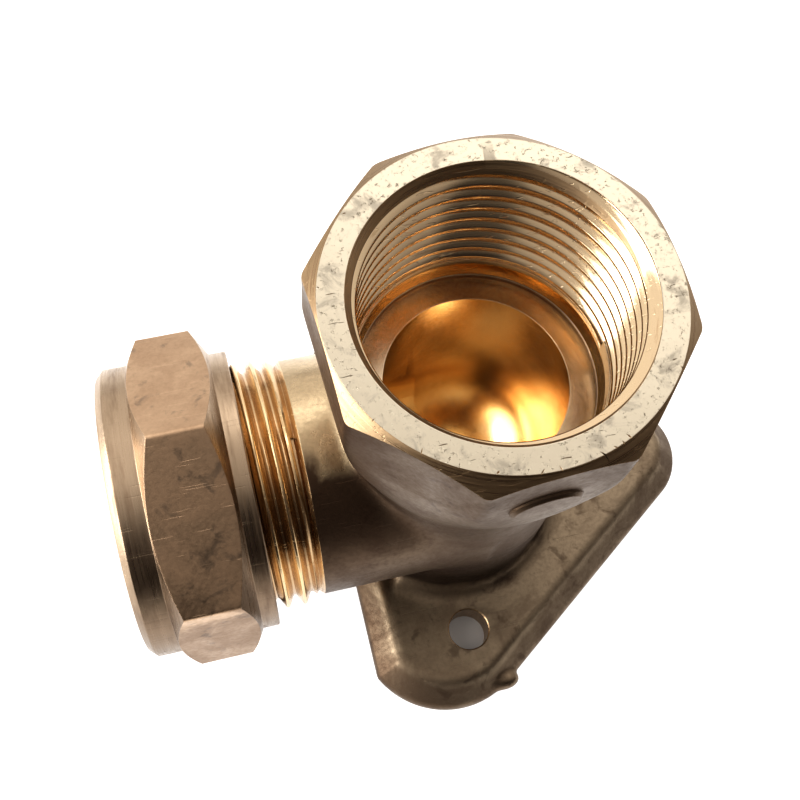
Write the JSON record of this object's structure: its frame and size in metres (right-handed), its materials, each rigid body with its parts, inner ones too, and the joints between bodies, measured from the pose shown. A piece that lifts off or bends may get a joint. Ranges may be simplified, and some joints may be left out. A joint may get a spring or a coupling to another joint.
{
  "type": "wall plate elbow fitting",
  "caption": "Brass wall-plate elbow with an octagonal female-threaded socket, a compression outlet with its hexagon nut and olive, and a drilled rounded-triangle wall plate.",
  "frame": {"origin": "centre of the wall plate's back face, on the axis of the threaded socket", "axes": "+Z along the socket's axis, away from the wall; -X along the compression outlet, towards the tube; +Y completes the right-handed set"},
  "size_m": [0.0664, 0.051, 0.054],
  "materials": {
    "forged_brass": "forged, dulled brass with machined bright faces on the socket rim, bore and threads",
    "turned_brass": "satin brass, turned collars and threads, dull tarnished flats",
    "olive_brass": "bright soft brass"
  },
  "bodies": {
    "elbow": {"body": "forged_brass"},
    "olive_carrier": {"olive": "olive_brass"},
    "nut": {"compression_nut": "turned_brass"}
  },
  "joints": [
    {"name": "olive_slide", "type": "slide", "parent": "elbow", "child": "olive_carrier", "axis": [-1, 0, 0], "range_m": [0, 0.00408]},
    {"name": "nut_turn", "type": "hinge", "parent": "olive_carrier", "child": "nut", "pos_m": [-0.03, 0, 0.019], "axis": [-1, 0, 0], "range_deg": [0, 810]}
  ],
  "couplings": [
    {"joint": "nut_turn", "follows": "olive_slide", "rad_per_m": 3463.2}
  ]
}
